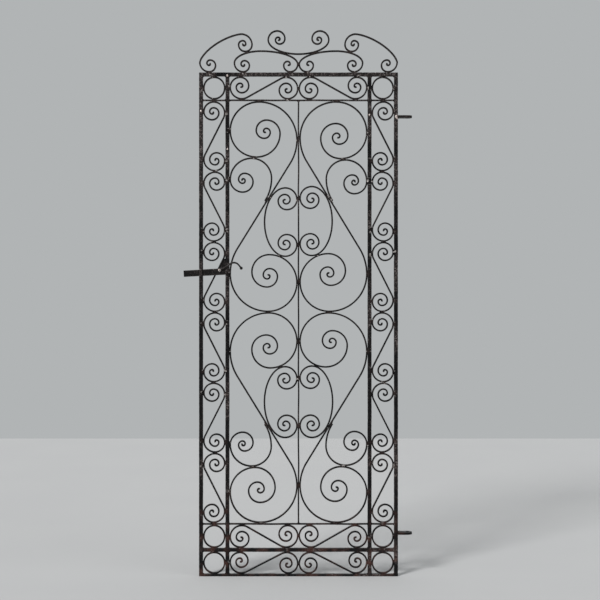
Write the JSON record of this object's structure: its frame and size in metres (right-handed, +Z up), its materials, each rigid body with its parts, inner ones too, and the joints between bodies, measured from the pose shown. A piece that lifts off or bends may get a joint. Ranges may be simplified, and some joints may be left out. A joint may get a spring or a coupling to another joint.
{
  "type": "garden gate",
  "caption": "Tall narrow wrought-iron garden gate: bar frame, forged scroll infill, scrolled crest, lift latch and hinge eyes.",
  "frame": {"origin": "middle of the underside of the bottom rail, half way through the bars' depth", "axes": "+Z up the gate, X across it with the hinge side at +X, -Y towards the front where the latch bar is"},
  "size_m": [0.7592, 0.0385, 1.8141],
  "materials": {
    "painted_frame": "many coats of black gloss paint over square iron bar, with rust at the welds and along the foot",
    "painted_scroll": "black gloss paint over forged flat bar, chipped at the welds",
    "painted_crest": "black paint, a little more weathered, over forged flat bar",
    "latch_iron": "black paint worn satin by handling",
    "hinge_iron": "black paint, rubbed and rusted round the pin hole",
    "bare_rivet": "rubbed bare, dull bright"
  },
  "bodies": {
    "gate": {"big_scroll_lower_hinge": "painted_scroll", "big_scroll_lower_latch": "painted_scroll", "big_scroll_upper_hinge": "painted_scroll", "big_scroll_upper_latch": "painted_scroll", "bottom_rail": "painted_frame", "centre_bar": "painted_frame", "crest_arch_hinge": "painted_crest", "crest_arch_latch": "painted_crest", "crest_crown": "painted_crest", "crest_horn_hinge": "painted_crest", "crest_horn_latch": "painted_crest", "heart_scroll_lower_hinge": "painted_scroll", "heart_scroll_lower_latch": "painted_scroll", "heart_scroll_upper_hinge": "painted_scroll", "heart_scroll_upper_latch": "painted_scroll", "hinge_eye_bottom": "hinge_iron", "hinge_eye_top": "hinge_iron", "inner_stile_hinge": "painted_frame", "inner_stile_latch": "painted_frame", "latch_guide": "painted_frame", "latch_gusset": "painted_frame", "latch_pivot_bolt": "latch_iron", "latch_pivot_nut": "latch_iron", "lower_rail": "painted_frame", "lower_thin_rail": "painted_frame", "outer_stile_hinge": "painted_frame", "outer_stile_latch": "painted_frame", "ring_bottom_hinge": "painted_scroll", "ring_bottom_latch": "painted_scroll", "ring_middle_hinge": "painted_scroll", "ring_middle_latch": "painted_scroll", "ring_top_hinge": "painted_scroll", "ring_top_latch": "painted_scroll", "row_scroll_bottom_hinge": "painted_scroll", "row_scroll_bottom_latch": "painted_scroll", "row_scroll_middle_hinge": "painted_scroll", "row_scroll_middle_latch": "painted_scroll", "row_scroll_top_hinge": "painted_scroll", "row_scroll_top_latch": "painted_scroll", "side_scroll_hinge_1": "painted_scroll", "side_scroll_hinge_2": "painted_scroll", "side_scroll_hinge_3": "painted_scroll", "side_scroll_hinge_4": "painted_scroll", "side_scroll_hinge_5": "painted_scroll", "side_scroll_hinge_6": "painted_scroll", "side_scroll_latch_1": "painted_scroll", "side_scroll_latch_2": "painted_scroll", "side_scroll_latch_3": "painted_scroll", "side_scroll_latch_4": "painted_scroll", "side_scroll_latch_5": "painted_scroll", "side_scroll_latch_6": "painted_scroll", "spur_scroll_lower_hinge": "painted_scroll", "spur_scroll_lower_latch": "painted_scroll", "spur_scroll_upper_hinge": "painted_scroll", "spur_scroll_upper_latch": "painted_scroll", "top_rail": "painted_frame", "upper_thin_rail": "painted_frame"},
    "latch": {"latch_bar": "latch_iron", "latch_tail": "latch_iron", "latch_rivet": "bare_rivet"}
  },
  "joints": [
    {"name": "latch_lift", "type": "hinge", "parent": "gate", "child": "latch", "pos_m": [-0.2363, 0, 1.01325], "axis": [0, 1, 0], "range_deg": [0, 12]}
  ]
}
